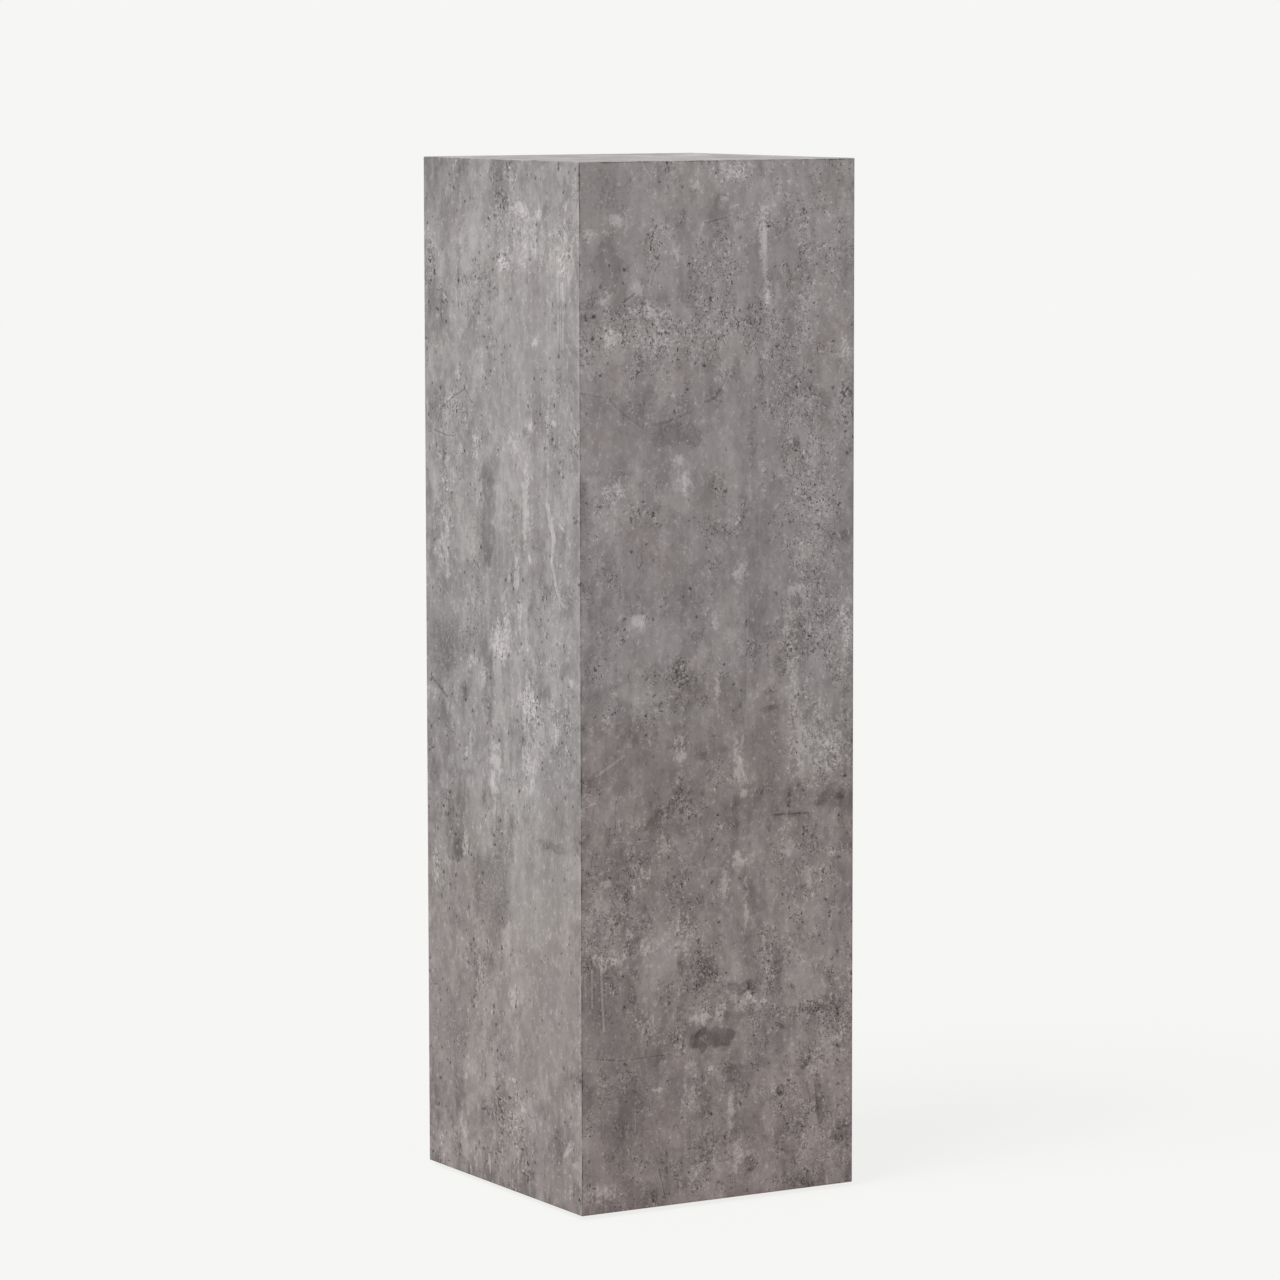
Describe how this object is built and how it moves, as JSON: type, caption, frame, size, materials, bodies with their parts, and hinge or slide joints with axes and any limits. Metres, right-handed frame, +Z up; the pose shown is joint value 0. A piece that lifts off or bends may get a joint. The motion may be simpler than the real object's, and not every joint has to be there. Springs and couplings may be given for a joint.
{
  "type": "pedestal stand",
  "caption": "Tall square display pedestal: a closed box column of mitred boards under a concrete-print laminate, with a flat top and low glides under its base.",
  "frame": {"origin": "on the floor under the middle of the column, at the glides' underside", "axes": "+Z up along the column, -Y out of the front (the wide face in the picture), -X out of the left face (the lit face in the picture)"},
  "size_m": [0.305, 0.305, 1],
  "materials": {
    "concrete_laminate": "concrete-print high-pressure laminate, silk-matt, streaked and pitted print",
    "mdf_board": "raw medium-density fibreboard",
    "pine": "planed softwood",
    "zinc_steel": "zinc-plated",
    "glide_plastic": "moulded black plastic"
  },
  "bodies": {
    "root": {"front_laminate": "concrete_laminate", "right_laminate": "concrete_laminate", "back_laminate": "concrete_laminate", "left_laminate": "concrete_laminate", "top_laminate": "concrete_laminate", "front_panel": "mdf_board", "right_panel": "mdf_board", "back_panel": "mdf_board", "left_panel": "mdf_board", "top_panel": "mdf_board", "diaphragm": "mdf_board", "base_board": "mdf_board", "corner_batten_front_left": "pine", "corner_batten_front_right": "pine", "corner_batten_back_left": "pine", "corner_batten_back_right": "pine", "top_cleat_front": "pine", "top_cleat_right": "pine", "top_cleat_back": "pine", "top_cleat_left": "pine", "base_cleat_front": "pine", "base_cleat_right": "pine", "base_cleat_back": "pine", "base_cleat_left": "pine", "base_screws": "zinc_steel", "glide_nails": "zinc_steel", "glide_front_left": "glide_plastic", "glide_front_right": "glide_plastic", "glide_back_left": "glide_plastic", "glide_back_right": "glide_plastic"}
  },
  "joints": []
}
